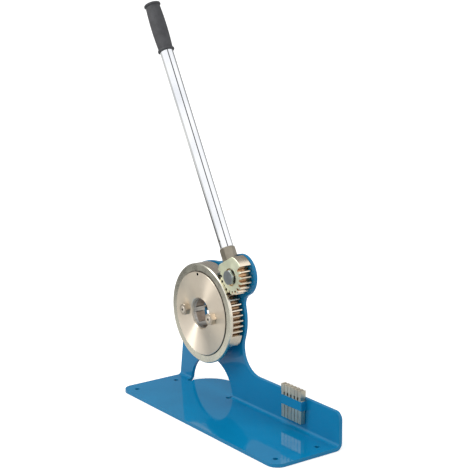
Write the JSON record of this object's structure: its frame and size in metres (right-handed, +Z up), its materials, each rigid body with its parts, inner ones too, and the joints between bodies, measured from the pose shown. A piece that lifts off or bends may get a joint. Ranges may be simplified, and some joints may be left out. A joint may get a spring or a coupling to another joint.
{
  "type": "bench radial crimping press",
  "caption": "Bench-mounted lever press: a geared cam ring on a bent-sheet tower closes radial jaws around a round throat; spare dies stand in a rack.",
  "frame": {"origin": "on the bench, straight below the crimping axis, in the plane of the tower's front face", "axes": "+X along the base plate towards the die rack, +Y from the operator's side to the back, +Z up"},
  "size_m": [0.5309, 0.183, 0.6954],
  "materials": {
    "blue_paint": "glossy",
    "turned_steel": "satin, turned",
    "gear_steel": "satin, zinc passivated",
    "bright_steel": "bright zinc",
    "chrome": "polished",
    "rubber": "matte",
    "bronze": "turned",
    "tool_steel": "ground"
  },
  "bodies": {
    "frame": {"base_frame": "blue_paint", "guide_body": "blue_paint", "die_holder": "blue_paint", "cover_disc": "turned_steel", "cover_studs": "gear_steel", "cover_nuts": "gear_steel", "guide_dowels": "tool_steel", "pinion_bush": "tool_steel", "pinion_bolt": "bright_steel", "pinion_nut": "bright_steel", "back_washer": "bright_steel", "thrust_washer": "bronze"},
    "ring": {"cam_ring": "turned_steel", "ring_bush": "bronze"},
    "lever": {"pinion": "gear_steel", "lever_boss": "gear_steel", "lever_tube": "chrome", "tube_pin": "tool_steel", "hand_grip": "rubber"},
    "jaw_1_set": {"jaw_1": "tool_steel", "die_1": "tool_steel", "drive_pin_1": "tool_steel"},
    "jaw_2_set": {"jaw_2": "tool_steel", "die_2": "tool_steel", "drive_pin_2": "tool_steel"},
    "jaw_3_set": {"jaw_3": "tool_steel", "die_3": "tool_steel", "drive_pin_3": "tool_steel"},
    "jaw_4_set": {"jaw_4": "tool_steel", "die_4": "tool_steel", "drive_pin_4": "tool_steel"},
    "jaw_5_set": {"jaw_5": "tool_steel", "die_5": "tool_steel", "drive_pin_5": "tool_steel"},
    "jaw_6_set": {"jaw_6": "tool_steel", "die_6": "tool_steel", "drive_pin_6": "tool_steel"},
    "spare_1": {"spare_die_1": "tool_steel"},
    "spare_2": {"spare_die_2": "tool_steel"},
    "spare_3": {"spare_die_3": "tool_steel"},
    "spare_4": {"spare_die_4": "tool_steel"},
    "spare_5": {"spare_die_5": "tool_steel"},
    "spare_6": {"spare_die_6": "tool_steel"}
  },
  "joints": [
    {"name": "lever_swing", "type": "hinge", "parent": "frame", "child": "lever", "pos_m": [0.08096, -0.013, 0.23738], "axis": [0, 1, 0], "range_deg": [0, 130]},
    {"name": "ring_turn", "type": "hinge", "parent": "frame", "child": "ring", "pos_m": [0, -0.015, 0.155], "axis": [0, 1, 0], "range_deg": [-43, 0]},
    {"name": "jaw_1_slide", "type": "slide", "parent": "frame", "child": "jaw_1_set", "axis": [0, 0, -1], "range_m": [0, 0.0101]},
    {"name": "jaw_2_slide", "type": "slide", "parent": "frame", "child": "jaw_2_set", "axis": [0.866, 0, -0.5], "range_m": [0, 0.0101]},
    {"name": "jaw_3_slide", "type": "slide", "parent": "frame", "child": "jaw_3_set", "axis": [0.866, 0, 0.5], "range_m": [0, 0.0101]},
    {"name": "jaw_4_slide", "type": "slide", "parent": "frame", "child": "jaw_4_set", "axis": [0, 0, 1], "range_m": [0, 0.0101]},
    {"name": "jaw_5_slide", "type": "slide", "parent": "frame", "child": "jaw_5_set", "axis": [-0.866, 0, 0.5], "range_m": [0, 0.0101]},
    {"name": "jaw_6_slide", "type": "slide", "parent": "frame", "child": "jaw_6_set", "axis": [-0.866, 0, -0.5], "range_m": [0, 0.0101]},
    {"name": "spare_1_lift", "type": "slide", "parent": "frame", "child": "spare_1", "axis": [0, 0, 1], "range_m": [0, 0.045]},
    {"name": "spare_2_lift", "type": "slide", "parent": "frame", "child": "spare_2", "axis": [0, 0, 1], "range_m": [0, 0.045]},
    {"name": "spare_3_lift", "type": "slide", "parent": "frame", "child": "spare_3", "axis": [0, 0, 1], "range_m": [0, 0.045]},
    {"name": "spare_4_lift", "type": "slide", "parent": "frame", "child": "spare_4", "axis": [0, 0, 1], "range_m": [0, 0.045]},
    {"name": "spare_5_lift", "type": "slide", "parent": "frame", "child": "spare_5", "axis": [0, 0, 1], "range_m": [0, 0.045]},
    {"name": "spare_6_lift", "type": "slide", "parent": "frame", "child": "spare_6", "axis": [0, 0, 1], "range_m": [0, 0.045]}
  ],
  "couplings": [
    {"joint": "ring_turn", "follows": "lever_swing", "ratio": -0.32759},
    {"joint": "jaw_1_slide", "follows": "lever_swing", "m_per_rad": 0.0044074},
    {"joint": "jaw_2_slide", "follows": "lever_swing", "m_per_rad": 0.0044074},
    {"joint": "jaw_3_slide", "follows": "lever_swing", "m_per_rad": 0.0044074},
    {"joint": "jaw_4_slide", "follows": "lever_swing", "m_per_rad": 0.0044074},
    {"joint": "jaw_5_slide", "follows": "lever_swing", "m_per_rad": 0.0044074},
    {"joint": "jaw_6_slide", "follows": "lever_swing", "m_per_rad": 0.0044074}
  ]
}
